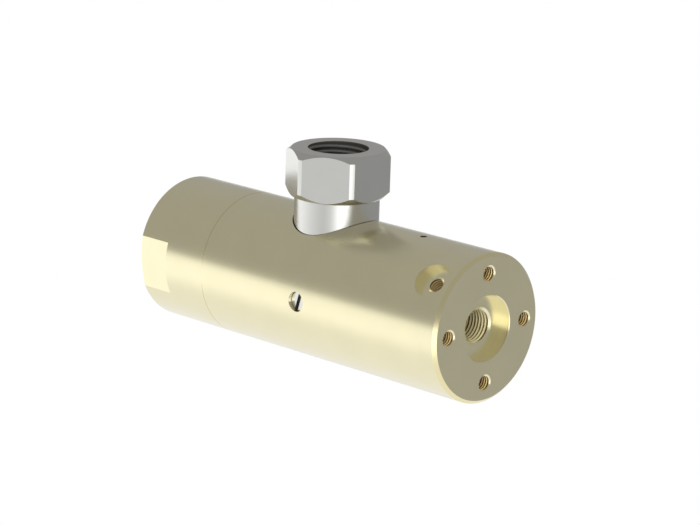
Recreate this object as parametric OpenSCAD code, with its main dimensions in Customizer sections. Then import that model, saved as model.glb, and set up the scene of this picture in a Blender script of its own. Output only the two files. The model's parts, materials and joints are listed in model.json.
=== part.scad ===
// Quick connector with a clamping nose, a sprung piston and a swivel side branch.
// Millimetres. X = 0 is the front face, which looks along +X. The body runs back
// along -X, and the side branch stands up along +Z. A "depth" is a distance
// behind the front face. Angles round the body count from +Y towards +Z.

/* [Body] */
// Radius of the round body and of the nose cap
body_r = 26; // [25:0.5:32]
// Chamfer on the front edge of the body and on the rear edge of the nose cap
edge_chamfer = 1.2; // [0.6:0.1:2]
// Small chamfer on both edges of the seam
seam_chamfer = 0.25; // [0.1:0.05:0.6]
// Step from the thread of the nose cap down to the bore that the piston runs in
bore_step = 2; // [1.5:0.1:2.5]
// Depth at which the piston chamber starts
chamber_depth = 22; // [21:0.5:23]
// Length of the thread that holds the nose cap
nose_thread_length = 14; // [12:0.5:14]

/* [Front face] */
// Radius of the recess round the supply port
recess_r = 11.45; // [9:0.05:13]
// Depth of the recess round the supply port
recess_depth = 4.1; // [2:0.1:5]
// Diameter of the circle that the mounting holes lie on
bolt_circle_d = 38; // [36:0.5:41]
// Number of mounting holes
bolt_count = 4; // [4:1:6]
// Depth of the thread in each mounting hole
bolt_thread_length = 12; // [8:1:14]
// Depth of the thread in the supply port, from the floor of the recess
supply_thread_length = 11.4; // [8:0.1:11.6]

/* [Threads] */
// Crest to crest radius of the M6 thread
small_major_r = 3; // [2.8:0.05:3.2]
// Hole radius of the M6 thread
small_minor_r = 2.46; // [2.3:0.02:2.6]
// Pitch of the M6 thread
small_pitch = 1; // [0.75:0.05:1.25]
// Crest to crest radius of the G1/4 thread
supply_major_r = 6.58; // [6.2:0.02:7]
// Hole radius of the G1/4 thread
supply_minor_r = 5.72; // [5.4:0.02:6]
// Pitch of the G1/4 thread
supply_pitch = 1.337; // [1:0.001:1.5]
// Crest to crest radius of the G1/2 thread
branch_major_r = 10.48; // [10.2:0.02:10.6]
// Hole radius of the G1/2 thread
branch_minor_r = 9.32; // [9.2:0.02:9.6]
// Pitch of the G1/2 thread
branch_pitch = 1.814; // [1.5:0.001:2]
// Extra radius of the lead-in chamfer at the mouth of a thread
lead_in = 0.05; // [0.05:0.05:0.5]

/* [Pilot port and vent] */
// Depth of the pilot port's axis
pilot_depth = 9.1; // [8:0.1:10]
// Angle of the pilot port round the body
pilot_angle = 135; // [120:1:150]
// Depth of the flat seat of the pilot port below the body's surface
pilot_seat_drop = 3; // [2:0.1:3.4]
// Radius of the flat seat round the pilot port
pilot_spot_r = 6.5; // [5:0.1:7]
// Length of the thread in the pilot port
pilot_thread_length = 6; // [5:0.5:7]
// Radius of the way drilled down from the pilot port
pilot_passage_r = 1.25; // [1.2:0.05:1.6]
// Radius of the way drilled from the piston chamber to the pilot port
pilot_way_r = 1; // [0.6:0.05:1]
// Distance from the wall of the piston chamber to the axis of that way
pilot_way_inset = 2.85; // [2:0.05:3.4]
// Distance from the rear of the resting piston's head to the vent hole's axis
vent_offset = 1.3; // [1.3:0.1:3]
// Radius of the vent hole
vent_r = 1.2; // [0.8:0.05:1.25]

/* [Piston] */
// Travel of the piston towards the nose
piston_stroke = 3; // [2:0.1:3]
// Gap in front of the resting piston, where the pilot pressure enters
pilot_gap = 1; // [0.6:0.1:1]
// Length of the piston's head
piston_head_length = 6; // [5.8:0.1:6]
// Radius of the piston's tail in the front wall
tail_r = 6; // [5.6:0.1:6.4]
// Gap between the supply port's thread and the resting piston's tail
tail_gap = 1; // [0.5:0.1:1.2]
// Radius of the piston rod
rod_r = 8; // [7.6:0.1:8.2]
// Radius of the bore through the piston
rod_bore_r = 4; // [3:0.1:4.4]
// Radius of the cross holes through the piston rod
rod_window_r = 2.5; // [1.5:0.1:2.8]
// Running clearance on each radius of a sliding fit
running = 0.05; // [0.03:0.01:0.06]
// Clearance on each radius of a fixed fit
seat = 0.05; // [0.02:0.01:0.08]

/* [Seals] */
// Section radius of the small O-rings
small_ring_r = 0.9; // [0.7:0.02:0.95]
// Section radius of the large O-rings
large_ring_r = 1.1; // [0.9:0.02:1.15]
// Width of the guide ring on the piston
guide_width = 1.8; // [1.2:0.1:1.8]
// Thickness of the guide ring on the piston
guide_thickness = 1.2; // [0.8:0.1:1.6]

/* [Spring] */
// Mean radius of the return spring
spring_r = 13; // [12:0.2:14]
// Wire diameter of the return spring
spring_wire = 2.4; // [1.8:0.1:2.45]
// Number of turns of the return spring, with its two closed ends
spring_turns = 5; // [4:1:6]
// Thickness of the washer behind the return spring
spring_seat_thickness = 1.5; // [1:0.1:2]

/* [Flow block] */
// Length of the flow block on each side of the boss, where its O-ring sits
block_collar = 6; // [5.2:0.1:7]
// Gap between the flow block and the seal pusher
block_gap = 4.65; // [4:0.05:6]
// Radius of the annular chamber round the rod
chamber_r = 10.5; // [10:0.1:11]
// Half length of the annular chamber round the rod
chamber_half = 8.5; // [8:0.1:9]

/* [Locating screw] */
// Distance from the branch's axis forward to the locating screw's axis
screw_offset = 6.9; // [0:0.1:9]
// Angle of the locating screw round the body
screw_angle = 180; // [170:1:190]
// Radius of the locating screw
screw_r = 3.5; // [3:0.1:4]
// How far the screw's slotted end lies below the body's surface
screw_recess = 1.45; // [1:0.05:3]
// Width of the screw's slot
screw_slot = 1.4; // [0.8:0.05:1.6]
// Depth of the screw's slot
screw_slot_depth = 1.3; // [0.8:0.1:2]
// Turn of the screw's slot from the body's axis
screw_slot_angle = 78; // [0:1:180]
// Radius of the screw's dog point
dog_r = 2.2; // [1.6:0.1:2.4]
// Length of the screw's dog point
dog_length = 2.4; // [1.5:0.1:3]

/* [Side branch] */
// Depth of the branch's axis
branch_depth = 72; // [71:0.5:73]
// Radius of the steel boss
boss_r = 15; // [14.4:0.1:15.2]
// Gap between the boss and its hole in the body
boss_gap = 0.35; // [0.1:0.05:0.5]
// Depth of the flat on the flow block that the boss stands on
foot_cut = 1.9; // [1.2:0.1:2.2]
// Height of the boss's top above the body
boss_rise = 6.8; // [5:0.1:8]
// Radius of the spigot that holds the boss in the flow block
spigot_r = 9; // [8.8:0.1:9.4]
// Thickness of the flow block between the spigot and the annular chamber
chamber_roof = 1.3; // [1:0.1:1.5]
// Radius of the bore through the adapter
branch_bore_r = 6; // [5:0.1:6.1]
// Radius of the neck that the nut turns on
neck_r = 11.75; // [11.2:0.05:12]
// Length of the neck above the boss
neck_length = 8.4; // [8:0.1:9]
// Thickness of the flat gasket on the neck
gasket_thickness = 1.5; // [1:0.1:2]
// Width of the flat gasket's ring
gasket_width = 2.8; // [2:0.1:3]

/* [Swivel nut] */
// Distance across the nut's flats
nut_af = 33.3; // [32:0.1:36]
// How far the turned corners of the nut stand out past its flats
nut_corner_rise = 2.05; // [1:0.05:2.4]
// Height of the nut
nut_height = 16.8; // [16:0.1:18]
// Gap between the nut and the top of the boss
nut_gap = 0.2; // [0.1:0.05:0.3]
// How far inside the flats the nut's end chamfers start
nut_rim_inset = 0.3; // [0.1:0.05:1]
// Height that the nut's top chamfer takes off at the corners
nut_top_drop = 1.95; // [1:0.05:2.6]
// Height that the nut's bottom chamfer takes off at the corners
nut_bottom_drop = 2.3; // [1:0.05:2.6]
// Extra radius of the chamfer at the nut's mouth
nut_lead_in = 0.25; // [0.1:0.05:1]
// Height of the plain relief in the nut above the face gasket
relief_gap = 0.5; // [0.2:0.1:1]
// Section radius of the wire that keeps the nut on the neck
wire_r = 0.7; // [0.5:0.05:0.8]
// Height of the wire above the top of the boss
wire_height = 3.6; // [3:0.1:4.4]

/* [Nose] */
// Radius of the tube that the connector clamps
tube_r = 8; // [7.8:0.1:8.2]
// How far the rounded rear edge cuts into the rear face, a little more than the wrench flats do
end_drop = 2; // [1.5:0.1:3]
// Length of the wrench flats
flat_length = 15; // [10:0.5:18]
// Depth of the wrench flats
flat_cut = 1.8; // [1:0.1:2.5]
// Angle of the wrench flats round the body
flat_angle = 184.3; // [170:0.1:190]
// Radius of the bore that holds the seal and the jaws
nose_bore_r = 16; // [15.9:0.1:17]
// Wall of the nose cap's spigot, out to the thread in the body
spigot_wall = 5; // [4.6:0.1:5.4]
// Half angle of the clamping cone
cone_angle = 15; // [12:0.5:15]
// Clearance of the tube in the tube mouth
mouth_clearance = 0.5; // [0.3:0.1:0.8]
// Length of the tube mouth behind the clamping cone
mouth_length = 11; // [8:0.5:13]
// Extra radius of the chamfer at the tube mouth
mouth_lead_in = 1.5; // [0.5:0.1:2.5]

/* [Clamp] */
// How far the seal pusher stands out of the nose cap's spigot
pusher_lead = 1; // [0.5:0.1:1.5]
// Thickness of the seal pusher
pusher_thickness = 6; // [5:0.1:6]
// Radius of the rod's end in the seal pusher
rod_end_r = 5.5; // [5:0.1:6]
// Depth of the recess that stops the tube
tube_stop_depth = 2; // [1:0.1:2.4]
// Length of the main seal
seal_length = 10; // [8:0.1:10]
// Clearance of the tube in the relaxed main seal
seal_clearance = 0.7; // [0.5:0.1:1]
// Thickness of the washer between the main seal and the jaws
thrust_thickness = 2; // [1.4:0.1:2]
// Clearance of the sliding clamp parts in the nose bore
clamp_clearance = 0.2; // [0.15:0.05:0.3]
// Length of each jaw
jaw_length = 16.5; // [14:0.1:16.5]
// Length of the jaws' round shoulder in front of the cone
jaw_shoulder = 5.9; // [5:0.1:6.5]
// Gap behind the closed jaws
jaw_end_gap = 0.4; // [0.2:0.1:1]
// Clearance of the tube in the open jaws
jaw_clearance = 0.9; // [0.9:0.1:1.4]
// Gap between neighbouring jaws while open
jaw_gap = 1.8; // [1.4:0.1:2.4]
// Clearance between the jaws and the cone
cone_clearance = 0.15; // [0.1:0.01:0.2]
// Spacing of the teeth on the jaws
tooth_pitch = 1.5; // [1:0.1:2]
// Depth of the teeth on the jaws
tooth_depth = 0.6; // [0.3:0.05:0.8]
// Section radius of the ring that spreads the jaws
expander_ring_r = 0.8; // [0.5:0.05:1]
// Distance from the front of the jaws to the spreading ring
expander_offset = 3; // [2:0.1:4]

/* [Hidden] */
$fn = 96;

champagne = "#cfc6a0";
steel = "#b9bab5";
bright_steel = "#d4d5d2";
dark_rubber = "#2b2b2b";
white_plastic = "#e9e6dc";
green_rubber = "#3f5f48";
brass = "#c9a552";

bite = 0.5;
lead_half_angle = 60;
up_angle = 90;
jaw_count = 6;

nose_thread_r = nose_bore_r + spigot_wall;
main_bore_r = nose_thread_r - bore_step;
piston_r = main_bore_r - running;
supply_end = recess_depth + supply_thread_length;
tail_bore_r = tail_r + running;
head_front = chamber_depth + pilot_gap;
head_rear = head_front + piston_head_length;
tail_front = supply_end + tail_gap;
tail_length = head_front - tail_front;
vent_depth = head_rear + vent_offset;
boss_hole_r = boss_r + boss_gap;
block_front = branch_depth - boss_hole_r - block_collar;
block_rear = branch_depth + boss_hole_r + block_collar;
screw_depth = branch_depth - screw_offset;
block_r = main_bore_r - 2 * seat;
spring_end = block_front - spring_seat_thickness;
pusher_depth = block_rear + block_gap;
nose_start = pusher_depth + pusher_lead;
body_length = nose_start + nose_thread_length;
cap_spigot_r = nose_thread_r - seat;
clamp_r = nose_bore_r - clamp_clearance;
mouth_r = tube_r + mouth_clearance;
seal_bore_r = tube_r + seal_clearance;
jaw_bore_r = tube_r + jaw_clearance;
seal_front = pusher_depth + pusher_thickness;
thrust_front = seal_front + seal_length;
jaw_play = 0.1;
jaw_front = thrust_front + thrust_thickness + jaw_play;
jaw_rear = jaw_front + jaw_length;
jaw_cone_gap = cone_clearance / cos(cone_angle);
cone_depth = jaw_front + jaw_shoulder;
cone_end = jaw_rear + piston_stroke + jaw_end_gap;
cone_end_r = nose_bore_r - (cone_end - cone_depth) * tan(cone_angle);
cap_end = cone_end + mouth_length;
end_face_r = body_r - end_drop;
end_round_depth = (edge_chamfer * edge_chamfer + body_r * body_r - end_face_r * end_face_r) / (2 * edge_chamfer);
end_round_r = norm([end_round_depth, end_face_r]);
boss_foot_z = block_r - foot_cut;
boss_top_z = body_r + boss_rise;
spigot_length = boss_foot_z - chamber_r - chamber_roof;
nut_corner_r = nut_af / 2 + nut_corner_rise;
nut_rim_r = nut_af / 2 - nut_rim_inset;
pilot_seat_r = body_r - pilot_seat_drop;
nut_bottom_z = boss_top_z + nut_gap;
nut_top_z = nut_bottom_z + nut_height;
neck_top_z = boss_top_z + neck_length;
nut_step_z = neck_top_z + nut_gap;
relief_top_z = neck_top_z + gasket_thickness + relief_gap;
nut_bore_r = neck_r + 2 * running;
small_groove = 2 * small_ring_r + 0.2;
large_groove = 2 * large_ring_r + 0.2;
block_ring_inset = 2.8;
rod_ring_inset = 4;
head_ring_inset = 1.8;
guide_inset = 3.6;
tail_ring_inset = 1.6;
cap_ring_inset = 2.2;
adapter_ring_drop = 2.6;

// Turns a shape that is drawn along +Z so that it runs back from the front face
module along_body(depth = 0) {
    translate([-depth, 0, 0]) rotate([0, -90, 0]) children();
}

// Points a shape that is drawn along +Z outwards at one depth and angle of the body
module outwards(depth, angle) {
    translate([-depth, 0, 0]) rotate([angle - 90, 0, 0]) children();
}

// Puts a shape that is drawn along +Z on the axis of the side branch
module on_branch(z = 0) {
    translate([-branch_depth, 0, z]) children();
}

module tube(length, outer_r, inner_r) {
    difference() {
        cylinder(h = length, r = outer_r);
        translate([0, 0, -bite]) cylinder(h = length + 2 * bite, r = inner_r);
    }
}

module chamfered_cylinder(length, r, low_chamfer, high_chamfer) {
    rotate_extrude() polygon([[0, 0], [r - low_chamfer, 0], [r, low_chamfer],
        [r, length - high_chamfer], [r - high_chamfer, length], [0, length]]);
}

module o_ring(mean_r, section_r) {
    rotate_extrude() translate([mean_r, 0]) circle(r = section_r, $fn = 24);
}

// A groove that is open outwards, centred on z = 0
module outer_groove(r, floor_r, width) {
    translate([0, 0, -width / 2]) tube(width, r + bite, floor_r);
}

// A groove that is open inwards, centred on z = 0
module inner_groove(floor_r, width) {
    translate([0, 0, -width / 2]) cylinder(h = width, r = floor_r);
}

// The hole of an internal thread with its mouth at z = 0, cut as one ring for each turn
module threaded_hole(major_r, minor_r, pitch, length) {
    land = pitch / 6;
    middle = (pitch + land) / 2;
    mouth = major_r + lead_in;
    start = (mouth - minor_r) / tan(lead_half_angle);
    turns = floor((length - start) / pitch);
    rotate_extrude() polygon(concat(
        [[0, -bite], [mouth, -bite], [mouth, 0], [minor_r, start]],
        [for (turn = [0 : turns - 1]) let (crest = start + turn * pitch) each [
            [minor_r, crest + land],
            [major_r, crest + middle - land / 4],
            [major_r, crest + middle + land / 4],
            [minor_r, crest + pitch]]],
        [[minor_r, length], [0, length]]));
}

module body() {
    color(champagne) difference() {
        along_body() chamfered_cylinder(body_length, body_r, edge_chamfer, seam_chamfer);
        along_body(-bite) cylinder(h = recess_depth + bite, r = recess_r);
        along_body() cylinder(h = seam_chamfer, r1 = recess_r + seam_chamfer, r2 = recess_r);
        along_body(recess_depth) supply_port();
        along_body(supply_end - bite) cylinder(h = chamber_depth - supply_end + 2 * bite, r = tail_bore_r);
        along_body(chamber_depth - tail_ring_inset) inner_groove(tail_r + small_groove, small_groove);
        along_body(chamber_depth) cylinder(h = body_length, r = main_bore_r);
        along_body(nose_start) cylinder(h = body_length, r = nose_thread_r);
        for (i = [0 : bolt_count - 1])
            rotate([90 + i * 360 / bolt_count, 0, 0]) translate([0, bolt_circle_d / 2, 0])
                along_body() threaded_hole(small_major_r, small_minor_r, small_pitch, bolt_thread_length);
        pilot_passages();
        outwards(vent_depth, up_angle) cylinder(h = body_r + bite, r = vent_r, $fn = 32);
        outwards(screw_depth, screw_angle) cylinder(h = body_r + bite, r = screw_r, $fn = 48);
        on_branch() cylinder(h = body_r + bite, r = boss_hole_r);
    }
}

module supply_port() {
    threaded_hole(supply_major_r, supply_minor_r, supply_pitch, supply_thread_length);
}

// The flat seat, thread and drilled way of the pilot port, down to the piston chamber
module pilot_passages() {
    thread_floor = pilot_seat_r - pilot_thread_length;
    way_r = main_bore_r - pilot_way_inset;
    outwards(pilot_depth, pilot_angle) {
        translate([0, 0, pilot_seat_r]) {
            cylinder(h = body_r, r = pilot_spot_r);
            mirror([0, 0, 1]) threaded_hole(small_major_r, small_minor_r, small_pitch, pilot_thread_length);
        }
        translate([0, 0, way_r - 2 * pilot_way_r])
            cylinder(h = thread_floor - way_r + 2 * pilot_way_r + bite, r = pilot_passage_r, $fn = 32);
        translate([bite, 0, way_r]) rotate([0, -90, 0])
            cylinder(h = chamber_depth - pilot_depth + 2 * bite, r = pilot_way_r, $fn = 32);
    }
}

module nose_cap() {
    spigot_start = nose_start + seat;
    color(champagne) difference() {
        union() {
            intersection() {
                along_body(body_length) chamfered_cylinder(cap_end - body_length, body_r, seam_chamfer, 0);
                along_body(cap_end - end_round_depth) sphere(end_round_r);
            }
            along_body(spigot_start) cylinder(h = body_length - spigot_start + bite, r = cap_spigot_r);
        }
        along_body() rotate_extrude() polygon([[0, spigot_start - bite], [nose_bore_r, spigot_start - bite],
            [nose_bore_r, cone_depth], [cone_end_r, cone_end], [mouth_r, cone_end],
            [mouth_r, cap_end - mouth_lead_in], [mouth_r + mouth_lead_in, cap_end],
            [mouth_r + mouth_lead_in, cap_end + bite], [0, cap_end + bite]]);
        along_body(spigot_start + cap_ring_inset)
            outer_groove(nose_thread_r, nose_thread_r - large_groove, large_groove);
        for (side = [0, 180]) outwards(cap_end, flat_angle + side) wrench_flat_cut();
    }
}

// What a wrench flat takes away
module wrench_flat_cut() {
    translate([-bite, -body_r, body_r - flat_cut]) cube([flat_length + bite, 2 * body_r, body_r]);
}

module nose_cap_seal() {
    color(dark_rubber) along_body(nose_start + seat + cap_ring_inset)
        o_ring(nose_thread_r - seat - large_ring_r, large_ring_r);
}

module piston() {
    windows = [-rod_r / 2, rod_r / 2];
    color(steel) difference() {
        union() {
            along_body(tail_front) cylinder(h = tail_length + bite, r = tail_r);
            along_body(head_front) cylinder(h = piston_head_length, r = piston_r);
            along_body(head_rear - bite) cylinder(h = pusher_depth - head_rear + bite, r = rod_r);
            along_body(pusher_depth - bite)
                cylinder(h = pusher_thickness - tube_stop_depth + bite, r = rod_end_r);
        }
        along_body(tail_front - bite) cylinder(h = seal_front, r = rod_bore_r);
        along_body(head_front + head_ring_inset)
            outer_groove(piston_r, piston_r - small_groove, small_groove);
        along_body(head_front + guide_inset + guide_width / 2)
            outer_groove(piston_r, piston_r - guide_thickness, guide_width);
        for (offset = windows, angle = [0, 90])
            outwards(branch_depth + offset - piston_stroke / 2, angle) translate([0, 0, -body_r])
                cylinder(h = 2 * body_r, r = rod_window_r, $fn = 32);
    }
}

module piston_seal() {
    color(dark_rubber) along_body(head_front + head_ring_inset)
        o_ring(main_bore_r - running / 2 - small_ring_r, small_ring_r);
}

module piston_guide_ring() {
    play = running / 2;
    color(white_plastic) along_body(head_front + guide_inset + play)
        tube(guide_width - 2 * play, main_bore_r - play, piston_r - guide_thickness + play);
}

module tail_seal() {
    color(dark_rubber) along_body(chamber_depth - tail_ring_inset)
        o_ring(tail_r + running / 2 + small_ring_r, small_ring_r);
}

// Height of the spring's centre line after a number of turns, with closed end turns
function spring_height(turn, length, pitch_end, pitch_mid) =
    turn < 1 ? turn * pitch_end :
    turn < spring_turns - 1 ? pitch_end + (turn - 1) * pitch_mid :
    length - (spring_turns - turn) * pitch_end;

module return_spring() {
    steps = 24;
    sides = 10;
    end_play = 0.02;
    wire = spring_wire / 2;
    rise = spring_end - head_rear - spring_wire - 2 * end_play;
    pitch_end = spring_wire + end_play;
    pitch_mid = (rise - 2 * pitch_end) / (spring_turns - 2);
    rings = spring_turns * steps;
    points = [for (i = [0 : rings], j = [0 : sides - 1])
        let (turn = i / steps, reach = spring_r + wire * cos(j * 360 / sides))
        [reach * cos(turn * 360), reach * sin(turn * 360),
            wire + end_play + spring_height(turn, rise, pitch_end, pitch_mid)
                + wire * sin(j * 360 / sides)]];
    walls = [for (i = [0 : rings - 1], j = [0 : sides - 1])
        let (a = i * sides + j, b = i * sides + (j + 1) % sides)
        each [[a, a + sides, b], [b, a + sides, b + sides]]];
    first_end = [for (j = [0 : sides - 1]) j];
    last_end = [for (j = [sides - 1 : -1 : 0]) rings * sides + j];
    color(bright_steel) along_body(head_rear)
        polyhedron(points, concat(walls, [first_end, last_end]), convexity = 10);
}

module spring_seat() {
    color(steel) along_body(spring_end)
        tube(spring_seat_thickness, spring_r + spring_wire, rod_r + spring_seat_thickness);
}

module flow_block() {
    color(brass) difference() {
        along_body(block_front) cylinder(h = block_rear - block_front, r = block_r);
        along_body(block_front - bite)
            cylinder(h = block_rear - block_front + 2 * bite, r = rod_r + running);
        along_body(branch_depth - chamber_half) cylinder(h = 2 * chamber_half, r = chamber_r);
        for (depth = [block_front + block_ring_inset, block_rear - block_ring_inset])
            along_body(depth) outer_groove(block_r, main_bore_r - large_groove, large_groove);
        for (depth = [block_front + rod_ring_inset, block_rear - rod_ring_inset])
            along_body(depth) inner_groove(rod_r + large_groove, large_groove);
        on_branch(boss_foot_z) cylinder(h = body_r, r = boss_hole_r);
        on_branch(boss_foot_z - spigot_length - seat) cylinder(h = body_r, r = spigot_r + seat);
        on_branch() cylinder(h = body_r, r = branch_bore_r);
        outwards(screw_depth, screw_angle) translate([0, 0, block_r - dog_length])
            cylinder(h = body_r, r = dog_r + seat, $fn = 48);
    }
}

module block_seals() {
    color(dark_rubber) for (depth = [block_front + block_ring_inset, block_rear - block_ring_inset])
        along_body(depth) o_ring(main_bore_r - seat - large_ring_r, large_ring_r);
}

module rod_seals() {
    color(dark_rubber) for (depth = [block_front + rod_ring_inset, block_rear - rod_ring_inset])
        along_body(depth) o_ring(rod_r + running / 2 + large_ring_r, large_ring_r);
}

module locating_screw() {
    top = body_r - screw_recess;
    shank_bottom = main_bore_r + seat;
    color(bright_steel) outwards(screw_depth, screw_angle) difference() {
        union() {
            translate([0, 0, shank_bottom])
                chamfered_cylinder(top - shank_bottom, screw_r - seat, seam_chamfer, seam_chamfer);
            translate([0, 0, block_r - dog_length + seat])
                cylinder(h = shank_bottom + bite - block_r + dog_length, r = dog_r, $fn = 48);
        }
        translate([0, 0, top - screw_slot_depth]) rotate([0, 0, screw_slot_angle])
            translate([-screw_r, -screw_slot / 2, 0]) cube([2 * screw_r, screw_slot, body_r]);
    }
}

module branch_adapter() {
    color(steel) difference() {
        on_branch() {
            translate([0, 0, boss_foot_z - spigot_length]) cylinder(h = spigot_length + bite, r = spigot_r);
            translate([0, 0, boss_foot_z])
                chamfered_cylinder(boss_top_z - boss_foot_z, boss_r, seam_chamfer, seam_chamfer);
            translate([0, 0, boss_top_z - bite])
                chamfered_cylinder(neck_length + bite, neck_r, 0, seam_chamfer);
        }
        on_branch() cylinder(h = nut_top_z, r = branch_bore_r);
        on_branch(boss_foot_z - adapter_ring_drop)
            outer_groove(spigot_r, spigot_r - small_groove, small_groove);
        on_branch(boss_top_z + wire_height)
            outer_groove(neck_r, neck_r - wire_r - seat, 2 * wire_r + 2 * seat);
    }
}

module adapter_seal() {
    color(dark_rubber) on_branch(boss_foot_z - adapter_ring_drop)
        o_ring(spigot_r - small_ring_r, small_ring_r);
}

// One end's turned outline of the nut: the radius grows along the chamfer to the corner
module nut_blank() {
    rotate_extrude() polygon([[0, 0], [nut_rim_r, 0], [nut_corner_r, nut_bottom_drop],
        [nut_corner_r, nut_height - nut_top_drop], [nut_rim_r, nut_height], [0, nut_height]]);
}

module hex_nut() {
    hex_r = nut_af / 2 / cos(30);
    color(steel) on_branch(nut_bottom_z) difference() {
        intersection() {
            rotate([0, 0, 30]) cylinder(h = nut_height, r = hex_r, $fn = 6);
            nut_blank();
        }
        translate([0, 0, -bite]) cylinder(h = nut_step_z - nut_bottom_z + bite, r = nut_bore_r);
        translate([0, 0, boss_top_z + wire_height - nut_bottom_z])
            inner_groove(nut_bore_r + wire_r, 2 * wire_r + 4 * running);
        translate([0, 0, nut_height]) mirror([0, 0, 1]) branch_thread(nut_top_z - relief_top_z);
        translate([0, 0, nut_step_z - nut_bottom_z - bite])
            cylinder(h = relief_top_z - nut_step_z + bite, r = branch_major_r);
    }
}

module branch_thread(length) {
    mouth_r = branch_major_r + nut_lead_in;
    threaded_hole(branch_major_r, branch_minor_r, branch_pitch, length + bite);
    translate([0, 0, -bite]) cylinder(h = bite, r = mouth_r);
    cylinder(h = nut_lead_in, r1 = mouth_r, r2 = branch_major_r);
}

module nut_retaining_wire() {
    color(bright_steel) on_branch(boss_top_z + wire_height) o_ring(neck_r, wire_r);
}

module face_gasket() {
    outer_r = branch_minor_r - running;
    color(green_rubber) on_branch(neck_top_z) tube(gasket_thickness, outer_r, outer_r - gasket_width);
}

module seal_pusher() {
    color(steel) along_body(pusher_depth) difference() {
        cylinder(h = pusher_thickness, r = clamp_r);
        translate([0, 0, -bite]) cylinder(h = pusher_thickness + 2 * bite, r = rod_end_r + seat);
        translate([0, 0, pusher_thickness - tube_stop_depth]) cylinder(h = pusher_thickness, r = seal_bore_r);
    }
}

module main_seal() {
    color(green_rubber) along_body(seal_front) tube(seal_length, clamp_r, seal_bore_r);
}

module thrust_washer() {
    color(bright_steel) along_body(thrust_front) tube(thrust_thickness, clamp_r, seal_bore_r);
}

// Half outline of the ring that the jaws are cut from, with its teeth and ring groove
function jaw_outline() =
    let (
        cone_r = nose_bore_r - jaw_cone_gap,
        shoulder = cone_depth + (cone_r - clamp_r) / tan(cone_angle),
        rear_r = cone_r - (jaw_rear - cone_depth) * tan(cone_angle),
        groove_r = jaw_bore_r + 2 * expander_ring_r + 0.1,
        groove_mid = jaw_front + expander_offset,
        groove_half = expander_ring_r + 0.1,
        teeth_start = groove_mid + groove_half + tooth_pitch,
        teeth = floor((jaw_rear - teeth_start) / tooth_pitch)
    )
    concat(
        [[jaw_bore_r, jaw_front], [clamp_r, jaw_front], [clamp_r, shoulder], [rear_r, jaw_rear]],
        [for (i = [teeth - 1 : -1 : 0]) each [
            [jaw_bore_r, teeth_start + (i + 1) * tooth_pitch],
            [jaw_bore_r + tooth_depth, teeth_start + i * tooth_pitch + tooth_pitch / 10]]],
        [[jaw_bore_r, teeth_start],
            [jaw_bore_r, groove_mid + groove_half], [groove_r, groove_mid + groove_half],
            [groove_r, groove_mid - groove_half], [jaw_bore_r, groove_mid - groove_half]]);

module jaw(number) {
    spread = 360 / jaw_count / 2;
    apex = jaw_gap / 2 / sin(spread);
    reach = 2 * body_r;
    color(steel) intersection() {
        along_body() rotate_extrude() polygon(jaw_outline());
        rotate([(number - 0.5) * 360 / jaw_count, 0, 0]) along_body(jaw_front - bite)
            rotate([0, 0, 90]) linear_extrude(jaw_length + 2 * bite) polygon([[apex, 0],
                [apex + reach * cos(spread), -reach * sin(spread)],
                [apex + reach * cos(spread), reach * sin(spread)]]);
    }
}

module jaw_expander() {
    opening = 30;
    color(bright_steel) along_body(jaw_front + expander_offset)
        rotate_extrude(angle = 360 - opening)
            translate([jaw_bore_r + expander_ring_r, 0]) circle(r = expander_ring_r, $fn = 24);
}

body();
nose_cap();
nose_cap_seal();
piston();
piston_seal();
piston_guide_ring();
tail_seal();
return_spring();
spring_seat();
flow_block();
block_seals();
rod_seals();
locating_screw();
branch_adapter();
adapter_seal();
hex_nut();
nut_retaining_wire();
face_gasket();
seal_pusher();
main_seal();
thrust_washer();
jaw_expander();
jaw(1);  // jaw_1
jaw(2);  // jaw_2
jaw(3);  // jaw_3
jaw(4);  // jaw_4
jaw(5);  // jaw_5
jaw(6);  // jaw_6
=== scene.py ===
"""Looks of a quick connector, built round its packed construction model."""

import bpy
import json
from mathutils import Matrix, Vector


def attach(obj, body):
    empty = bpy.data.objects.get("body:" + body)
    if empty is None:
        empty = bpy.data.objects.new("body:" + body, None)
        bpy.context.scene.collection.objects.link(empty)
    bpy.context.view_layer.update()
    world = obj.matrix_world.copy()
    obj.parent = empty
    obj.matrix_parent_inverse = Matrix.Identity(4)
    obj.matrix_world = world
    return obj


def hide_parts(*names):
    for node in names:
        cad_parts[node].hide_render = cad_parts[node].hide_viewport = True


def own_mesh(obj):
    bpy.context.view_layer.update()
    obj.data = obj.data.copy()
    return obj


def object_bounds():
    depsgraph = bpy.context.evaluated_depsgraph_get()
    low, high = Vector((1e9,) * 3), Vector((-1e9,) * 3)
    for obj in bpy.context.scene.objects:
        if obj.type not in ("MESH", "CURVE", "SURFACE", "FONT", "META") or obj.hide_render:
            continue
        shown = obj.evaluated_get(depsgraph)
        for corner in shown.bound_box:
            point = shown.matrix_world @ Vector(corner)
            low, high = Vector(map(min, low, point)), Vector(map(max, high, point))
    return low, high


bl_info = {
    "name": "Quick connector looks",
    "version": (1, 0, 0),
    "blender": (4, 5, 0),
    "location": "View3D > Sidebar > Connector",
    "description": "Finishes, fine pieces, studio stage and camera of a quick connector",
    "category": "Object",
}

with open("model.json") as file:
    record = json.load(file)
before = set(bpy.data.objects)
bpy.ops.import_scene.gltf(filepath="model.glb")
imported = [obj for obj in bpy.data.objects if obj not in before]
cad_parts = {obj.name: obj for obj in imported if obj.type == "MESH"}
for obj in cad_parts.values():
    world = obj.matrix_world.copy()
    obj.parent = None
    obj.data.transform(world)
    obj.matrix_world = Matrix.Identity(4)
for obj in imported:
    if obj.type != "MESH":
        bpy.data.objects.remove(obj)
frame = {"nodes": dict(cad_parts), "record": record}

import json
import math

import bpy
from bpy.props import FloatProperty, FloatVectorProperty, IntProperty, PointerProperty
from bpy.types import Operator, Panel, PropertyGroup
from mathutils import Matrix, Vector

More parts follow.
